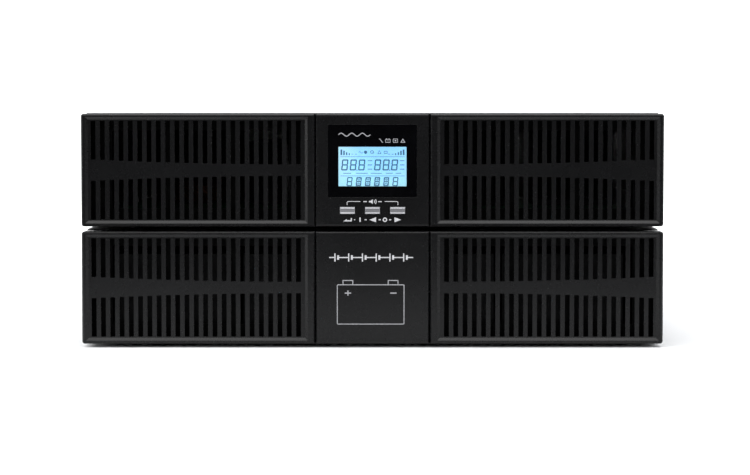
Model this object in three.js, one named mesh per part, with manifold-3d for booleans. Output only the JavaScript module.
// A rack uninterruptible power supply: a 2U power module that stands on a 2U battery pack.
// Units are millimetres. X runs to the right of someone facing the front, Y runs from the front to the
// rear, Z runs up. The origin is on the surface it stands on, under the middle of the whole object.

import * as THREE from "three";
import { mergeVertices } from "three/addons/utils/BufferGeometryUtils.js";
import Module from "manifold-3d";

const wasm = await Module();
wasm.setup();

// ---------------------------------------------------------------- driving dimensions

const RACK_UNIT = 44.45;
const MODULE_PITCH = 2 * RACK_UNIT; // from one module's feet to the next module's feet
const CASE_WIDTH = 438;
const CASE_DEPTH = 552;
const SHEET = 1.2; // steel sheet of both cases
const SEAT = 0.2; // gap between pieces that rest on each other
const PLAY = 0.3; // gap round a piece that sits in another

const FOOT_HEIGHT = 2.2;
const FOOT_RADIUS = 9;
const CASE_BOTTOM = FOOT_HEIGHT + SEAT;
const CASE_TOP = MODULE_PITCH - SEAT;
const MID_HEIGHT = (CASE_BOTTOM + CASE_TOP) / 2;

const BEZEL_WIDTH = 440;
const BEZEL_HEIGHT = 85.3;
const BEZEL_DEPTH = 28;
const SEAM = 0.5; // between two front panels
const CENTRE_WIDTH = 86;
const GRILLE_WIDTH = (BEZEL_WIDTH - CENTRE_WIDTH) / 2 - SEAM;

const KEY_PROUD = 0.8;
const REAR_REACH = 30; // how far the terminal cover stands out behind the case
const OVERALL_DEPTH = KEY_PROUD + BEZEL_DEPTH + SEAT + CASE_DEPTH + REAR_REACH;
const FACE_Y = KEY_PROUD - OVERALL_DEPTH / 2; // front face of the panels
const PLATE_Y = FACE_Y + BEZEL_DEPTH + SEAT; // front of the steel case
const REAR_Y = PLATE_Y + CASE_DEPTH; // rear of the steel case

// ---------------------------------------------------------------- materials

const paint = (color, roughness, metalness = 0) =>
  new THREE.MeshStandardMaterial({ color, roughness, metalness });

const MATERIALS = {
  bezel: paint(0x1c1d1f, 0.45),
  case: paint(0x17181a, 0.6, 0.2),
  window: paint(0x050506, 0.12),
  lcd: paint(0x9fe4ff, 0.3),
  key: paint(0x9a9a9e, 0.4),
  board: paint(0x14532d, 0.5),
  heatsink: paint(0xb8bcc0, 0.35, 0.9),
  fan: paint(0x111214, 0.5),
  wire: paint(0xb9bdc2, 0.25, 1),
  rubber: paint(0x0f0f10, 0.85),
  breaker: paint(0xd9d9d4, 0.5),
  lever: paint(0x1b1b1d, 0.4),
  connector: paint(0x3a3b3e, 0.5),
  battery: paint(0x26272b, 0.55),
  copper: paint(0xb26a35, 0.4, 0.8),
  capacitor: paint(0x1d2c4a, 0.4),
  zinc: paint(0xa9adb2, 0.35, 0.9),
  epo: paint(0x1f7a3d, 0.5),
};

// ---------------------------------------------------------------- shapes

// A box from its lowest to its highest corner.
function block(x0, x1, y0, y1, z0, z1) {
  const box = new THREE.BoxGeometry(x1 - x0, y1 - y0, z1 - z0);
  return box.translate((x0 + x1) / 2, (y0 + y1) / 2, (z0 + z1) / 2);
}

// A box given by its middle and its size in X and Z, and by where it starts and ends in Y.
function slab(x, z, width, height, y0, y1) {
  return block(x - width / 2, x + width / 2, y0, y1, z - height / 2, z + height / 2);
}

// A four-sided taper along Y, from a rectangle at y0 to one at y1. A rectangle is [x0, x1, z0, z1].
function taper(y0, near, y1, far) {
  const ring = (y, [x0, x1, z0, z1]) => [x0, y, z0, x1, y, z0, x1, y, z1, x0, y, z1];
  const geometry = new THREE.BufferGeometry();
  const corners = new Float32Array([...ring(y0, near), ...ring(y1, far)]);
  geometry.setAttribute("position", new THREE.BufferAttribute(corners, 3));
  const sides = [0, 1, 2, 3].flatMap((i) => {
    const next = (i + 1) % 4;
    return [i, i + 4, next, next, i + 4, next + 4];
  });
  geometry.setIndex([0, 1, 2, 0, 2, 3, 4, 6, 5, 4, 7, 6, ...sides]);
  return geometry;
}

// A cylinder along an axis ("x", "y" or "z") from a to b, through the point [u, v] of the other two.
function rod(axis, [u, v], a, b, radius, segments = 24) {
  const cylinder = new THREE.CylinderGeometry(radius, radius, b - a, segments);
  const middle = (a + b) / 2;
  if (axis === "x") return cylinder.rotateZ(Math.PI / 2).translate(middle, u, v);
  if (axis === "y") return cylinder.translate(u, middle, v);
  return cylinder.rotateX(Math.PI / 2).translate(u, v, middle);
}

// A closed outline of [x, z] points, extruded from y0 to y1.
function extrude(points, y0, y1) {
  const shape = new THREE.Shape(points.map(([x, z]) => new THREE.Vector2(x, z)));
  const geometry = new THREE.ExtrudeGeometry(shape, { depth: y1 - y0, bevelEnabled: false });
  return geometry.rotateX(Math.PI / 2).translate(0, y1, 0);
}

// ---------------------------------------------------------------- joining and cutting

function solidOf(geometry) {
  const bare = geometry.clone();
  bare.deleteAttribute("normal");
  bare.deleteAttribute("uv");
  const merged = mergeVertices(bare, 1e-4);
  return new wasm.Manifold(
    new wasm.Mesh({
      numProp: 3,
      vertProperties: merged.attributes.position.array,
      triVerts: new Uint32Array(merged.index.array),
    }),
  );
}

function geometryOf(solid) {
  const mesh = solid.getMesh();
  const geometry = new THREE.BufferGeometry();
  geometry.setAttribute("position", new THREE.BufferAttribute(mesh.vertProperties, 3));
  geometry.setIndex(new THREE.BufferAttribute(mesh.triVerts, 1));
  return geometry;
}

const together = (geometries) =>
  geometries.map(solidOf).reduce((sum, solid) => sum.add(solid));
const join = (...geometries) => geometryOf(together(geometries));
const cut = (base, ...tools) => geometryOf(solidOf(base).subtract(together(tools)));

function addPart(group, name, geometry, material) {
  const flat = geometry.index ? geometry.toNonIndexed() : geometry;
  flat.computeVertexNormals();
  const mesh = new THREE.Mesh(flat, material);
  mesh.name = name;
  group.add(mesh);
}

// ---------------------------------------------------------------- the steel case of a module

const LID_HALF_WIDTH = CASE_WIDTH / 2;
const PAN_HALF_WIDTH = LID_HALF_WIDTH - SHEET - PLAY;
const PAN_FLANGE = 20;
const PLATE_FOOT_HALF_WIDTH = PAN_HALF_WIDTH - SHEET - PLAY; // between the flanges of the pan
const PLATE_HALF_WIDTH = LID_HALF_WIDTH - SHEET - PLAY; // above them, between the sides of the cover
const PLATE_BOTTOM = CASE_BOTTOM + SHEET + PLAY;
const PLATE_STEP = CASE_BOTTOM + PAN_FLANGE + PLAY;
const PLATE_TOP = CASE_TOP - SHEET - PLAY;
const FLOOR_TOP = CASE_BOTTOM + SHEET;

// The flat floor, with a flange up each side that the cover screws to.
function basePan() {
  const x = PAN_HALF_WIDTH;
  const flange = (side) =>
    block(
      Math.min(side * x, side * (x - SHEET)),
      Math.max(side * x, side * (x - SHEET)),
      PLATE_Y,
      REAR_Y,
      CASE_BOTTOM,
      CASE_BOTTOM + PAN_FLANGE,
    );
  return join(block(-x, x, PLATE_Y, REAR_Y, CASE_BOTTOM, FLOOR_TOP), flange(-1), flange(1));
}

// Tapped holes in the case's sides that take a rack ear: two columns of two.
const EAR_HOLE_RADIUS = 2;
const EAR_COLUMNS = [22, 52]; // behind the front edge of the case
const EAR_ROWS = [-22, 22]; // from the middle of the height

// The top and both sides, bent from one sheet.
function caseCover() {
  const x = LID_HALF_WIDTH;
  const outside = block(-x, x, PLATE_Y, REAR_Y, CASE_BOTTOM, CASE_TOP);
  const inside = block(-x + SHEET, x - SHEET, PLATE_Y - 1, REAR_Y + 1, 0, CASE_TOP - SHEET);
  const holes = EAR_COLUMNS.flatMap((column) =>
    EAR_ROWS.map((row) =>
      rod("x", [PLATE_Y + column, MID_HEIGHT + row], -x - 1, x + 1, EAR_HOLE_RADIUS, 8),
    ),
  );
  return cut(outside, inside, ...holes);
}

const VENT_COLUMNS = 3;
const VENT_PITCH = 48;
const VENT_WINDOW = [40, 60];
const POST_RADIUS = 3;
const POST_HOLE_RADIUS = 3.6;

// The middle of the grille panel on a side: -1 is the left one, 1 the right one.
const grilleMiddle = (side) => side * (BEZEL_WIDTH / 2 - GRILLE_WIDTH / 2);

// Where a grille panel's two mounting posts are, measured from its middle.
const GRILLE_POSTS = [8 - GRILLE_WIDTH / 2, GRILLE_WIDTH / 2 - 8];
const CENTRE_POSTS = [-38.4, 38.4];
const CENTRE_POST_RADIUS = 2;
const HARNESS_WINDOW = [50, 46]; // behind the centre panel, for its wiring

// A blank end wall of the case from y to y + SHEET, with its foot between the flanges of the pan.
function endWall(y) {
  const [foot, wall] = [PLATE_FOOT_HALF_WIDTH, PLATE_HALF_WIDTH];
  return join(
    block(-foot, foot, y, y + SHEET, PLATE_BOTTOM, PLATE_TOP),
    block(-wall, wall, y, y + SHEET, PLATE_STEP, PLATE_TOP),
  );
}

// The steel wall behind the front panels, with air windows and holes for the panels' posts.
function frontPlate() {
  const through = (x, z, width, height) =>
    slab(x, z, width, height, PLATE_Y - 1, PLATE_Y + SHEET + 1);
  const cuts = [through(0, MID_HEIGHT, ...HARNESS_WINDOW)];
  for (const side of [-1, 1]) {
    const middle = grilleMiddle(side);
    for (let column = 0; column < VENT_COLUMNS; column++) {
      const x = middle + (column - (VENT_COLUMNS - 1) / 2) * VENT_PITCH;
      cuts.push(through(x, MID_HEIGHT, ...VENT_WINDOW));
    }
    for (const post of GRILLE_POSTS) {
      const spot = [middle + post, MID_HEIGHT];
      cuts.push(rod("y", spot, PLATE_Y - 1, PLATE_Y + SHEET + 1, POST_HOLE_RADIUS, 12));
    }
  }
  for (const post of CENTRE_POSTS) {
    const hole = CENTRE_POST_RADIUS + PLAY * 2;
    cuts.push(rod("y", [post, MID_HEIGHT], PLATE_Y - 1, PLATE_Y + SHEET + 1, hole, 12));
  }
  return cut(endWall(PLATE_Y), ...cuts);
}

const FOOT_INSET_X = 30;
const FOOT_INSET_Y = 35;

function foot(sideX, sideY) {
  const x = sideX * (LID_HALF_WIDTH - FOOT_INSET_X);
  const y = sideY < 0 ? PLATE_Y + FOOT_INSET_Y : REAR_Y - FOOT_INSET_Y;
  return rod("z", [x, y], 0, FOOT_HEIGHT, FOOT_RADIUS, 12);
}

function addCase(group, prefix, rearCutOuts) {
  addPart(group, `${prefix}_base_pan`, basePan(), MATERIALS.case);
  addPart(group, `${prefix}_cover`, caseCover(), MATERIALS.case);
  addPart(group, `${prefix}_front_plate`, frontPlate(), MATERIALS.case);
  const rearPanel = cut(endWall(REAR_Y - SHEET), ...rearCutOuts);
  addPart(group, `${prefix}_rear_panel`, rearPanel, MATERIALS.case);
  for (const [end, sideY] of [["front", -1], ["rear", 1]]) {
    for (const [hand, sideX] of [["left", -1], ["right", 1]]) {
      addPart(group, `${prefix}_foot_${end}_${hand}`, foot(sideX, sideY), MATERIALS.rubber);
    }
  }
}

// ---------------------------------------------------------------- the front panels

const PANEL_WALL = 2.2;
const EDGE_CHAMFER = 1.2;
const CORNER_RADIUS = 2.2; // at the four corners of a whole front
const RIM_OUTER = 3; // flat rim at the case's side
const RIM_INNER = 5.5; // flat rim beside the centre panel
const RIM_LEVEL = 2.4; // flat rim along the top and the bottom
const FIELD_SLOPE = 2.1; // width of the sloped wall between the rim and the field
const FIELD_DEPTH = 1.7; // how far the slotted field lies behind the rim
const FIELD_THICKNESS = 2.4;
const SLOT_COUNT = 23;
const SLOT_PITCH = 7.04;
const SLOT_WIDTH = 3.7;
const SLOT_OUTER_MARGIN = 7.2; // from the panel's outer edge to the first slot
const SLOT_LEVEL_MARGIN = 5.3; // from the panel's top or bottom to the slots
const BAND_INNER = 4.3; // half height of the plain band at the slot beside the centre
const BAND_OUTER = 8; // the same at the slot beside the case's side
const POST_REACH = 9; // how far a mounting post passes the panel's rear edge

// What rounding takes off a corner: a square round the corner, less a rod that touches both edges.
function cornerTrim(sideX, sideZ, edgeX, edgeZ) {
  const x = edgeX - sideX * CORNER_RADIUS;
  const z = edgeZ - sideZ * CORNER_RADIUS;
  const square = [2 * CORNER_RADIUS, 2 * CORNER_RADIUS];
  const [front, back] = [FACE_Y - 1, FACE_Y + BEZEL_DEPTH + 1];
  return cut(
    slab(x + sideX * CORNER_RADIUS, z + sideZ * CORNER_RADIUS, ...square, front, back),
    rod("y", [x, z], front - 1, back + 1, CORNER_RADIUS),
  );
}

// A hollow panel of a width, round x, with chamfered front edges and an open rear. Where its outer
// edge is an end of the front, that edge's corners are rounded.
function panelShell(x, width, wall) {
  const low = MID_HEIGHT - BEZEL_HEIGHT / 2;
  const high = MID_HEIGHT + BEZEL_HEIGHT / 2;
  const [left, right] = [x - width / 2, x + width / 2];
  const chamfer = EDGE_CHAMFER;
  const edge = taper(
    FACE_Y,
    [left + chamfer, right - chamfer, low + chamfer, high - chamfer],
    FACE_Y + chamfer,
    [left, right, low, high],
  );
  const body = block(left, right, FACE_Y + chamfer, FACE_Y + BEZEL_DEPTH, low, high);
  const hollow = block(
    left + PANEL_WALL,
    right - PANEL_WALL,
    FACE_Y + wall,
    FACE_Y + BEZEL_DEPTH + 1,
    low + PANEL_WALL,
    high - PANEL_WALL,
  );
  const side = Math.sign(x);
  const trims = side
    ? [cornerTrim(side, -1, x + (side * width) / 2, low), cornerTrim(side, 1, x + (side * width) / 2, high)]
    : [];
  return cut(join(edge, body), hollow, ...trims);
}

// The plain band between the two rows of slots narrows towards the centre of the front along an arc
// that lies level at its inner end. inward runs from 0 at the outer slot to 1 at the inner slot.
function bandHalfHeight(inward) {
  const run = (SLOT_COUNT - 1) * SLOT_PITCH;
  const rise = BAND_OUTER - BAND_INNER;
  const radius = (run * run + rise * rise) / (2 * rise);
  const along = run * (1 - inward);
  return BAND_INNER + radius - Math.sqrt(radius * radius - along * along);
}

function grillePanel(side) {
  const middle = grilleMiddle(side);
  const outerEdge = middle + (side * GRILLE_WIDTH) / 2;
  const innerEdge = middle - (side * GRILLE_WIDTH) / 2;
  const half = BEZEL_HEIGHT / 2;
  const wall = FIELD_DEPTH + FIELD_THICKNESS;
  // The edges of the recess, inset from the panel's own by a slope that grows from the field to the face.
  const recess = (slope) => {
    const xs = [outerEdge - side * (RIM_OUTER + slope), innerEdge + side * (RIM_INNER + slope)];
    const z = half - RIM_LEVEL - slope;
    return [Math.min(...xs), Math.max(...xs), MID_HEIGHT - z, MID_HEIGHT + z];
  };
  const pastFace = 0.5; // the cutting shape starts in front of the face, on the same slope
  const slopePerDepth = FIELD_SLOPE / FIELD_DEPTH;
  const field = taper(
    FACE_Y - pastFace,
    recess(-pastFace * slopePerDepth),
    FACE_Y + FIELD_DEPTH,
    recess(FIELD_SLOPE),
  );
  const slots = [];
  for (let i = 0; i < SLOT_COUNT; i++) {
    const x = outerEdge - side * (SLOT_OUTER_MARGIN + SLOT_WIDTH / 2 + i * SLOT_PITCH);
    const near = bandHalfHeight(i / (SLOT_COUNT - 1));
    const far = half - SLOT_LEVEL_MARGIN;
    for (const row of [-1, 1]) {
      const z = MID_HEIGHT + (row * (near + far)) / 2;
      slots.push(slab(x, z, SLOT_WIDTH, far - near, FACE_Y - 1, FACE_Y + wall + 1));
    }
  }
  const posts = GRILLE_POSTS.map((post) =>
    rod(
      "y",
      [middle + post, MID_HEIGHT],
      FACE_Y + wall - 0.4,
      FACE_Y + BEZEL_DEPTH + POST_REACH,
      POST_RADIUS,
      12,
    ),
  );
  return join(cut(panelShell(middle, GRILLE_WIDTH, wall), field, ...slots), ...posts);
}

const CENTRE_WALL = 4;

function centrePosts() {
  return CENTRE_POSTS.map((post) =>
    rod(
      "y",
      [post, MID_HEIGHT],
      FACE_Y + CENTRE_WALL - 0.4,
      FACE_Y + BEZEL_DEPTH + POST_REACH,
      CENTRE_POST_RADIUS,
      12,
    ),
  );
}

// The battery pack's plain centre panel.
function blankCentrePanel() {
  return join(panelShell(0, CENTRE_WIDTH, CENTRE_WALL), ...centrePosts());
}

// ---------------------------------------------------------------- the display

const WINDOW_SIZE = [66.5, 54.4];
const WINDOW_Z = MID_HEIGHT + 7;
const WINDOW_THICKNESS = 1.5;
const POCKET_DEPTH = 1.8;
const LCD_VIEW = [52, 31]; // the clear part of the window
const LCD_GLASS = [54, 33];
const LCD_BODY = [62, 41];
const LCD_Z = MID_HEIGHT + 3;
const LCD_BACK = 8.5;
const KEY_SIZE = [11.3, 5.3];
const KEY_PITCH = 18.95;
const KEY_Z = MID_HEIGHT - 30.4;
const KEY_FLANGE = [13.4, 7.4];
const KEY_FLANGE_THICKNESS = 1;
const KEY_TRAVEL = 0.8;
const KEY_BACK = 8.2; // where a key's stem ends behind the face
const SWITCH_FRONT = KEY_BACK + KEY_TRAVEL + PLAY;
const BOARD_FRONT = 13;
const BOARD_THICKNESS = 1.6;
const KEYS = [["enter", -1], ["back", 0], ["next", 1]];

const behindFace = (x, z, [width, height], from, to) =>
  slab(x, z, width, height, FACE_Y + from, FACE_Y + to);
const larger = ([width, height], by) => [width + 2 * by, height + 2 * by];

function displayPanel() {
  return join(
    cut(
      panelShell(0, CENTRE_WIDTH, CENTRE_WALL),
      behindFace(0, WINDOW_Z, larger(WINDOW_SIZE, 0.2), -1, POCKET_DEPTH),
      behindFace(0, LCD_Z, larger(LCD_GLASS, 1), -1, CENTRE_WALL + 1),
      ...KEYS.map(([, place]) =>
        behindFace(place * KEY_PITCH, KEY_Z, larger(KEY_SIZE, PLAY), -1, CENTRE_WALL + 1),
      ),
    ),
    ...centrePosts(),
  );
}

function displayWindow() {
  return cut(
    behindFace(0, WINDOW_Z, WINDOW_SIZE, 0, WINDOW_THICKNESS),
    behindFace(0, LCD_Z, LCD_VIEW, -1, WINDOW_THICKNESS + 1),
  );
}

function lcdModule() {
  const step = CENTRE_WALL + PLAY;
  return join(
    behindFace(0, LCD_Z, LCD_GLASS, POCKET_DEPTH, step),
    behindFace(0, LCD_Z, LCD_BODY, step, LCD_BACK),
  );
}

function key(place) {
  const x = place * KEY_PITCH;
  const flange = CENTRE_WALL + PLAY;
  const flangeBack = flange + KEY_FLANGE_THICKNESS;
  return join(
    taper(
      FACE_Y - KEY_PROUD,
      edges(x, KEY_Z, larger(KEY_SIZE, -0.4)),
      FACE_Y - KEY_PROUD + 0.4,
      edges(x, KEY_Z, KEY_SIZE),
    ),
    behindFace(x, KEY_Z, KEY_SIZE, 0.4 - KEY_PROUD, flange),
    behindFace(x, KEY_Z, KEY_FLANGE, flange, flangeBack),
    rod("y", [x, KEY_Z], FACE_Y + flangeBack, FACE_Y + KEY_BACK, 1.5, 12),
  );
}

function edges(x, z, [width, height]) {
  return [x - width / 2, x + width / 2, z - height / 2, z + height / 2];
}

// The circuit board behind the display, with a push switch behind each key and a plug for its lead.
function displayBoard() {
  const boardBack = BOARD_FRONT + BOARD_THICKNESS;
  return join(
    behindFace(0, MID_HEIGHT - 0.5, [72, 74], BOARD_FRONT, boardBack),
    ...KEYS.map(([, place]) =>
      behindFace(place * KEY_PITCH, KEY_Z, [6, 6], SWITCH_FRONT, BOARD_FRONT),
    ),
    behindFace(0, MID_HEIGHT - 32, [22, 6], boardBack, boardBack + 8),
  );
}

function addDisplay(group) {
  addPart(group, "display_panel", displayPanel(), MATERIALS.bezel);
  addPart(group, "display_window", displayWindow(), MATERIALS.window);
  addPart(group, "lcd_module", lcdModule(), MATERIALS.lcd);
  addPart(group, "display_board", displayBoard(), MATERIALS.board);
  for (const [name, place] of KEYS) {
    addPart(group, `key_${name}`, key(place), MATERIALS.key);
  }
}

// ---------------------------------------------------------------- fans

const FAN_SIZE = 80;
const FAN_DEPTH = 25;
const FAN_BORE = 38.4;
const FAN_XS = { outer: 170, inner: 84 };
const FAN_BACK = REAR_Y - SHEET - PLAY;
const FAN_FRONT = FAN_BACK - FAN_DEPTH;
const MOTOR_RADIUS = 17;
const MOTOR_MOUNT = 3; // thickness of the motor's plate and of its struts
const BLADE_COUNT = 7;
const BLADE_TIP = 37;
const BLADE_THICKNESS = 1.4;
const BLADE_STATIONS = 5;

// The square frame. Four struts at the outlet hold the plate that the motor turns on.
function fanFrame(x) {
  const mount = [FAN_BACK - MOTOR_MOUNT, FAN_BACK];
  return join(
    cut(
      slab(x, MID_HEIGHT, FAN_SIZE, FAN_SIZE, FAN_FRONT, FAN_BACK),
      rod("y", [x, MID_HEIGHT], FAN_FRONT - 1, FAN_BACK + 1, FAN_BORE, 40),
    ),
    rod("y", [x, MID_HEIGHT], ...mount, MOTOR_RADIUS, 28),
    slab(x, MID_HEIGHT, 2 * FAN_BORE + 1, 3.2, ...mount),
    slab(x, MID_HEIGHT, 3.2, 2 * FAN_BORE + 1, ...mount),
  );
}

// One blade: flat sections that flatten out and twist towards the tip.
function fanBlade(turn) {
  const hub = MOTOR_RADIUS - 2;
  const corners = [];
  for (let i = 0; i < BLADE_STATIONS; i++) {
    const share = i / (BLADE_STATIONS - 1);
    const radius = hub + share * (BLADE_TIP - hub);
    const pitch = THREE.MathUtils.degToRad(52 - 24 * share);
    const chord = 13 + 9 * share;
    const along = [Math.sin(pitch), Math.cos(pitch)]; // Y, and round the hub
    const across = [Math.cos(pitch), -Math.sin(pitch)];
    for (const [c, t] of [[-1, -1], [1, -1], [1, 1], [-1, 1]]) {
      const y = (c * chord * along[0] + t * BLADE_THICKNESS * across[0]) / 2;
      const around = (c * chord * along[1] + t * BLADE_THICKNESS * across[1]) / 2;
      const angle = turn + around / radius;
      corners.push(radius * Math.cos(angle), y, radius * Math.sin(angle));
    }
  }
  const faces = [0, 1, 2, 0, 2, 3];
  for (let i = 0; i < BLADE_STATIONS - 1; i++) {
    for (let k = 0; k < 4; k++) {
      const [a, b] = [4 * i + k, 4 * i + ((k + 1) % 4)];
      faces.push(a, a + 4, b, b, a + 4, b + 4);
    }
  }
  const tip = 4 * (BLADE_STATIONS - 1);
  faces.push(tip, tip + 2, tip + 1, tip, tip + 3, tip + 2);
  const geometry = new THREE.BufferGeometry();
  geometry.setAttribute("position", new THREE.BufferAttribute(new Float32Array(corners), 3));
  geometry.setIndex(faces);
  return geometry;
}

function fanRotor(x) {
  const [front, back] = [FAN_FRONT + 1.5, FAN_BACK - MOTOR_MOUNT - 0.6];
  const middle = (front + back) / 2;
  const blades = [];
  for (let i = 0; i < BLADE_COUNT; i++) {
    const blade = fanBlade((2 * Math.PI * i) / BLADE_COUNT);
    blades.push(blade.translate(x, middle, MID_HEIGHT));
  }
  return join(rod("y", [x, MID_HEIGHT], front, back, MOTOR_RADIUS - 0.6, 28), ...blades);
}

const GUARD_WIRE = 0.9; // radius of the guard's wire
const GUARD_RINGS = [13, 24, 35];
const GUARD_STANDOFF = 2.4;

// The finger guard outside the rear panel: wire rings on a crossed pair of wires.
function fanGuard(x) {
  const y = REAR_Y + GUARD_STANDOFF;
  const rings = GUARD_RINGS.map((radius) =>
    new THREE.TorusGeometry(radius, GUARD_WIRE, 5, 24)
      .rotateX(Math.PI / 2)
      .translate(x, y + 1.2 * GUARD_WIRE, MID_HEIGHT),
  );
  const reach = FAN_BORE + 1.5;
  const wires = [-1, 1].map((lean) =>
    new THREE.CylinderGeometry(GUARD_WIRE, GUARD_WIRE, 2 * reach, 5)
      .rotateX(Math.PI / 2)
      .rotateY((lean * Math.PI) / 4)
      .translate(x, y, MID_HEIGHT),
  );
  const ends = [-1, 1].flatMap((sideX) =>
    [-1, 1].map((sideZ) => {
      const spot = [x + (sideX * reach) / Math.SQRT2, MID_HEIGHT + (sideZ * reach) / Math.SQRT2];
      return rod("y", spot, REAR_Y + PLAY, y + GUARD_WIRE, 2.6, 10);
    }),
  );
  return join(...rings, ...wires, ...ends);
}

const fanHole = (x) =>
  rod("y", [x, MID_HEIGHT], REAR_Y - SHEET - 1, REAR_Y + 1, FAN_BORE - 0.6, 24);

function addFans(group) {
  for (const [name, x] of Object.entries(FAN_XS)) {
    addPart(group, `fan_frame_${name}`, fanFrame(x), MATERIALS.fan);
    addPart(group, `fan_rotor_${name}`, fanRotor(x), MATERIALS.fan);
    addPart(group, `fan_guard_${name}`, fanGuard(x), MATERIALS.wire);
  }
}

// ---------------------------------------------------------------- rear fittings

const throughRear = (x, z, [width, height]) =>
  slab(x, z, width, height, REAR_Y - SHEET - 1, REAR_Y + 1);

const BREAKER_NOSE = [35.6, 45];
const BREAKER_BODY = [35.6, 72];
const BREAKER_PROUD = 5;
const BREAKER_DEPTH = 52;
const LEVER_RADIUS = 8;
const LEVER_WIDTH = 25;
const LEVER_INSET = 4; // from the nose's face in to the lever's axis
const LEVER_LENGTH = 19; // from the axis to the tip
const LEVER_THICKNESS = 5;
const LEVER_ANGLE = THREE.MathUtils.degToRad(35); // above level when it is on
const LEVER_Y = REAR_Y + BREAKER_PROUD - LEVER_INSET;

// A two-pole circuit breaker. Its nose comes through the rear panel, and is cut away round the lever.
function breakerBody(x) {
  const hub = LEVER_WIDTH / 2 + PLAY;
  const body = join(
    slab(x, MID_HEIGHT, ...BREAKER_BODY, REAR_Y - BREAKER_DEPTH, REAR_Y - SHEET - PLAY),
    slab(x, MID_HEIGHT, ...BREAKER_NOSE, REAR_Y - 10, REAR_Y + BREAKER_PROUD),
  );
  return cut(body, rod("x", [LEVER_Y, MID_HEIGHT], x - hub, x + hub, LEVER_RADIUS + PLAY * 2, 28));
}

function breakerLever(x) {
  const [half, root] = [LEVER_THICKNESS / 2, LEVER_THICKNESS / 2 - 0.7];
  const handle = taper(
    0,
    [-LEVER_WIDTH / 2, LEVER_WIDTH / 2, -half, half],
    LEVER_LENGTH,
    [-LEVER_WIDTH / 2 + 1, LEVER_WIDTH / 2 - 1, -root, root],
  );
  handle.rotateX(LEVER_ANGLE).translate(x, LEVER_Y, MID_HEIGHT);
  const [left, right] = [x - LEVER_WIDTH / 2, x + LEVER_WIDTH / 2];
  return join(rod("x", [LEVER_Y, MID_HEIGHT], left, right, LEVER_RADIUS, 28), handle);
}

function addBreaker(group, name, x) {
  addPart(group, name, breakerBody(x), MATERIALS.breaker);
  addPart(group, `${name}_lever`, breakerLever(x), MATERIALS.lever);
}

const SOCKET_BODY = [44, 22];
const SOCKET_FLANGE = [56, 27];
const SOCKET_CAVITY = [38, 16];
const SOCKET_PROUD = 3;
const SOCKET_DEPTH = 34;
const SOCKET_CAVITY_DEPTH = 22;

// A high-current battery socket, with a flange outside the panel and a cavity for the plug.
function batterySocket(x, z) {
  const body = join(
    slab(x, z, ...SOCKET_BODY, REAR_Y - SOCKET_DEPTH, REAR_Y + 1),
    slab(x, z, ...SOCKET_FLANGE, REAR_Y + SEAT, REAR_Y + SOCKET_PROUD),
  );
  const mouth = REAR_Y + SOCKET_PROUD;
  return cut(body, slab(x, z, ...SOCKET_CAVITY, mouth - SOCKET_CAVITY_DEPTH, mouth + 1));
}

const LOW_ROW_Z = 25;
const USB = { x: 34, size: [16, 15], cavity: [9, 8.4], depth: 16, cavityDepth: 11 };
const EPO = { x: -22, size: [17, 15], cavity: [10, 6.5], depth: 14, cavityDepth: 9 };
const SERIAL_X = 7;
const UPS_SOCKET_X = -60;
const PORT_PROUD = 1;

// A small port that stands a little out of the rear panel, with a cavity for its plug.
function port({ x, size, cavity, depth, cavityDepth }) {
  const mouth = REAR_Y + PORT_PROUD;
  return cut(
    slab(x, LOW_ROW_Z, ...size, mouth - depth, mouth),
    slab(x, LOW_ROW_Z, ...cavity, mouth - cavityDepth, mouth + 1),
  );
}

const SERIAL_FLANGE = [31, 12.5];
const SERIAL_SHELL = [17, 8.4];
const SERIAL_SLANT = 1.4;

// A nine-way serial port: a D-shaped shell on a flange, between two jack screws.
function serialPort() {
  const [halfWidth, halfHeight] = [SERIAL_SHELL[0] / 2, SERIAL_SHELL[1] / 2];
  const outline = [
    [SERIAL_X - halfWidth + SERIAL_SLANT, LOW_ROW_Z - halfHeight],
    [SERIAL_X + halfWidth - SERIAL_SLANT, LOW_ROW_Z - halfHeight],
    [SERIAL_X + halfWidth, LOW_ROW_Z + halfHeight],
    [SERIAL_X - halfWidth, LOW_ROW_Z + halfHeight],
  ];
  const screws = [-1, 1].map((side) =>
    rod("y", [SERIAL_X + side * 12.5, LOW_ROW_Z], REAR_Y + 0.6, REAR_Y + 5.5, 2.6, 6),
  );
  return join(
    slab(SERIAL_X, LOW_ROW_Z, ...SERIAL_FLANGE, REAR_Y + SEAT, REAR_Y + PORT_PROUD),
    extrude(outline, REAR_Y - 10, REAR_Y + 6),
    ...screws,
  );
}

const SLOT_COVER = { x: -18, z: MID_HEIGHT + 18, size: [118, 34], hole: [100, 26] };

// The blank cover of the card slot, held by two thumbscrews.
function slotCover() {
  const { x, z, size } = SLOT_COVER;
  const screws = [-1, 1].map((side) =>
    rod("y", [x + side * (size[0] / 2 - 7), z], REAR_Y + SEAT, REAR_Y + 9, 4.2, 16),
  );
  return join(slab(x, z, ...size, REAR_Y + SEAT, REAR_Y + SEAT + SHEET), ...screws);
}

const BREAKER_X = -106;
const TERMINAL_X = -169;
const TERMINAL_COVER = [76, 72];
const TERMINAL_FLANGE = 6;
const TERMINAL_BLOCK = [70, 26];
const TERMINAL_HOLE = [62, 14];
const TERMINAL_POLES = 6;

// The screw terminals for the mains leads: a barrier between each two poles.
function terminalBlock() {
  const [width, height] = TERMINAL_BLOCK;
  const pitch = width / TERMINAL_POLES;
  const [front, back] = [REAR_Y + SEAT, REAR_Y + 20];
  const barrier = 1.6;
  const wells = [];
  for (let i = 0; i < TERMINAL_POLES; i++) {
    const x = TERMINAL_X - width / 2 + (i + 0.5) * pitch;
    wells.push(slab(x, MID_HEIGHT, pitch - barrier, height + 2, front + 9, back + 1));
  }
  const rails = slab(TERMINAL_X, MID_HEIGHT, width, height, front, back);
  return cut(rails, ...wells);
}

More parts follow.
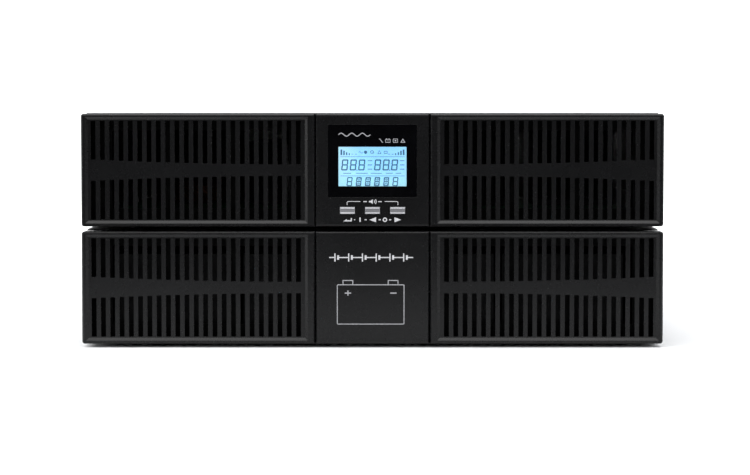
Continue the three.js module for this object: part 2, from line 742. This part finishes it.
// The steel box over the terminals, with a flange at each side for its screws.
function terminalCover() {
  const [width, height] = TERMINAL_COVER;
  const [front, back] = [REAR_Y + SEAT, REAR_Y + REAR_REACH];
  const inside = [width - 2 * SHEET, height - 2 * SHEET];
  return cut(
    join(
      slab(TERMINAL_X, MID_HEIGHT, width, height, front, back),
      slab(TERMINAL_X, MID_HEIGHT, width + 2 * TERMINAL_FLANGE, height, front, front + SHEET),
    ),
    slab(TERMINAL_X, MID_HEIGHT, ...inside, front - 1, back - SHEET),
  );
}

function addRearFittings(group) {
  addBreaker(group, "input_breaker", BREAKER_X);
  addPart(group, "terminal_block", terminalBlock(), MATERIALS.connector);
  addPart(group, "terminal_cover", terminalCover(), MATERIALS.case);
  addPart(group, "battery_socket", batterySocket(UPS_SOCKET_X, LOW_ROW_Z), MATERIALS.connector);
  addPart(group, "usb_port", port(USB), MATERIALS.zinc);
  addPart(group, "epo_socket", port(EPO), MATERIALS.epo);
  addPart(group, "serial_port", serialPort(), MATERIALS.zinc);
  addPart(group, "card_slot_cover", slotCover(), MATERIALS.case);
}

const upsRearCutOuts = () => [
  ...Object.values(FAN_XS).map(fanHole),
  throughRear(BREAKER_X, MID_HEIGHT, larger(BREAKER_NOSE, PLAY)),
  throughRear(TERMINAL_X, MID_HEIGHT, TERMINAL_HOLE),
  throughRear(UPS_SOCKET_X, LOW_ROW_Z, larger(SOCKET_BODY, PLAY)),
  throughRear(USB.x, LOW_ROW_Z, larger(USB.size, PLAY)),
  throughRear(EPO.x, LOW_ROW_Z, larger(EPO.size, PLAY)),
  throughRear(SERIAL_X, LOW_ROW_Z, larger(SERIAL_SHELL, PLAY)),
  throughRear(SLOT_COVER.x, SLOT_COVER.z, SLOT_COVER.hole),
];

// ---------------------------------------------------------------- inside the power module

const STANDOFF_TOP = FLOOR_TOP + 6;
const MAIN_BOARD_TOP = STANDOFF_TOP + 1.6;
const MAIN_BOARD = { x0: -205, x1: 205, y0: PLATE_Y + 60, y1: REAR_Y - 75 };

// The power board on six standoffs.
function mainBoard() {
  const { x0, x1, y0, y1 } = MAIN_BOARD;
  const standoffs = [x0 + 10, 0, x1 - 10].flatMap((x) =>
    [y0 + 10, y1 - 10].map((y) => rod("z", [x, y], FLOOR_TOP + PLAY, STANDOFF_TOP, 3, 8)),
  );
  return join(block(x0, x1, y0, y1, STANDOFF_TOP, MAIN_BOARD_TOP), ...standoffs);
}

const HEATSINK = { width: 66, height: 72, depth: 300, base: 5, fins: 9, fin: 1.8 };

// An extruded heatsink with its fins up, in line with a fan.
function heatsink(x) {
  const { width, height, depth, base, fins, fin } = HEATSINK;
  const z0 = MAIN_BOARD_TOP + PLAY;
  const y0 = MAIN_BOARD.y1 - depth - 20;
  const left = x - width / 2;
  const pitch = (width - fin) / (fins - 1);
  const outline = [[left + width, z0], [left + width, z0 + height]];
  for (let i = fins - 1; i > 0; i--) {
    const finLeft = left + i * pitch;
    const nextRight = left + (i - 1) * pitch + fin;
    outline.push([finLeft, z0 + height], [finLeft, z0 + base]);
    outline.push([nextRight, z0 + base], [nextRight, z0 + height]);
  }
  outline.push([left, z0 + height], [left, z0]);
  return extrude(outline.reverse(), y0, y0 + depth);
}

const CHOKE = { radius: 17, core: 9 };

// A wound ring choke that stands on the board on its side.
function choke(y) {
  const ring = new THREE.TorusGeometry(CHOKE.radius, CHOKE.core, 8, 16);
  return ring.translate(-150, y, MAIN_BOARD_TOP + PLAY + CHOKE.core);
}

const CAPACITOR = { radius: 17.5, height: 52, x: -90 };

function capacitor(y) {
  const z = MAIN_BOARD_TOP + PLAY;
  const { radius, height, x } = CAPACITOR;
  return join(
    rod("z", [x, y], z, z + height, radius, 20),
    rod("z", [x, y], z + height, z + height + 1.5, radius - 4, 20),
  );
}

const COMM_BOARD = [-32, 43, REAR_Y - 70, REAR_Y - SHEET - PLAY, 15.2, 16.8];

function addInsides(group) {
  addPart(group, "main_board", mainBoard(), MATERIALS.board);
  addPart(group, "heatsink_outer", heatsink(FAN_XS.outer - 2), MATERIALS.heatsink);
  addPart(group, "heatsink_inner", heatsink(FAN_XS.inner), MATERIALS.heatsink);
  for (let i = 0; i < 2; i++) {
    addPart(group, `choke_${i + 1}`, choke(-60 + 80 * i), MATERIALS.copper);
  }
  for (let i = 0; i < 3; i++) {
    addPart(group, `bus_capacitor_${i + 1}`, capacitor(-70 + 50 * i), MATERIALS.capacitor);
  }
  addPart(group, "comm_board", block(...COMM_BOARD), MATERIALS.board);
}

// ---------------------------------------------------------------- the battery pack

const BLOCK = { width: 94, gap: 6, length: 151, height: 65 }; // a 12 V block on its side
const BLOCKS_ACROSS = 4;
const BATTERY_ROWS = ["front", "middle", "rear"];
const ROW_GAP = 3;
const ROWS_Y = PLATE_Y + 12;

// Four battery blocks side by side in one wrapped row, with a pair of tabs on each.
function batteryRow(index) {
  const pitch = BLOCK.width + BLOCK.gap;
  const y0 = ROWS_Y + index * (BLOCK.length + ROW_GAP);
  const y1 = y0 + BLOCK.length;
  const [z0, z1] = [FLOOR_TOP + PLAY, FLOOR_TOP + PLAY + BLOCK.height];
  const left = (-BLOCKS_ACROSS * pitch) / 2;
  const grooves = [];
  const tabs = [];
  for (let i = 0; i < BLOCKS_ACROSS; i++) {
    const end = left + (i + 1) * pitch - BLOCK.gap;
    if (i < BLOCKS_ACROSS - 1) {
      grooves.push(block(end, end + BLOCK.gap, y0 - 1, y1 + 1, z0 + 3, z1 + 1));
    }
    for (const y of [y0 + 14, y1 - 14]) {
      tabs.push(block(end - 0.5, end + 4.5, y - 3, y + 3, z1 - 12, z1 - 11));
    }
  }
  const row = block(left, left + BLOCKS_ACROSS * pitch - BLOCK.gap, y0, y1, z0, z1);
  return join(cut(row, ...grooves), ...tabs);
}

const CLAMP = { width: 24, thickness: 1.5, halfSpan: 208 };

// The steel bar across the rows that holds the batteries down, with a leg to the floor at each end.
function clampBar() {
  const y = ROWS_Y + BLOCK.length * 1.5 + ROW_GAP;
  const [y0, y1] = [y - CLAMP.width / 2, y + CLAMP.width / 2];
  const z = FLOOR_TOP + PLAY + BLOCK.height + 1;
  const legs = [-1, 1].map((side) => {
    const xs = [side * CLAMP.halfSpan, side * (CLAMP.halfSpan - CLAMP.thickness)];
    return block(Math.min(...xs), Math.max(...xs), y0, y1, FLOOR_TOP + PLAY, z + CLAMP.thickness);
  });
  return join(block(-CLAMP.halfSpan, CLAMP.halfSpan, y0, y1, z, z + CLAMP.thickness), ...legs);
}

const PACK_BREAKER_X = -150;
const PACK_SOCKETS = { upper: MID_HEIGHT + 19, lower: MID_HEIGHT - 19 };
const PACK_SOCKET_X = -70;

const packRearCutOuts = () => [
  throughRear(PACK_BREAKER_X, MID_HEIGHT, larger(BREAKER_NOSE, PLAY)),
  ...Object.values(PACK_SOCKETS).map((z) =>
    throughRear(PACK_SOCKET_X, z, larger(SOCKET_BODY, PLAY)),
  ),
];

function addBatteries(group) {
  BATTERY_ROWS.forEach((name, index) => {
    addPart(group, `battery_row_${name}`, batteryRow(index), MATERIALS.battery);
  });
  addPart(group, "battery_clamp_bar", clampBar(), MATERIALS.zinc);
}

function addPackRear(group) {
  addBreaker(group, "pack_breaker", PACK_BREAKER_X);
  for (const [name, z] of Object.entries(PACK_SOCKETS)) {
    addPart(group, `pack_socket_${name}`, batterySocket(PACK_SOCKET_X, z), MATERIALS.connector);
  }
}

// ---------------------------------------------------------------- the assembly

function addGrilles(group, prefix) {
  for (const [hand, side] of [["left", -1], ["right", 1]]) {
    addPart(group, `${prefix}_grille_${hand}`, grillePanel(side), MATERIALS.bezel);
  }
}

function powerModule() {
  const group = new THREE.Group();
  addCase(group, "ups", upsRearCutOuts());
  addGrilles(group, "ups");
  addDisplay(group);
  addInsides(group);
  addFans(group);
  addRearFittings(group);
  group.position.z = MODULE_PITCH;
  return group;
}

function batteryPack() {
  const group = new THREE.Group();
  addCase(group, "pack", packRearCutOuts());
  addGrilles(group, "pack");
  addPart(group, "pack_centre_panel", blankCentrePanel(), MATERIALS.bezel);
  addBatteries(group);
  addPackRear(group);
  return group;
}

const supply = new THREE.Group();
supply.add(batteryPack(), powerModule());

export default supply;
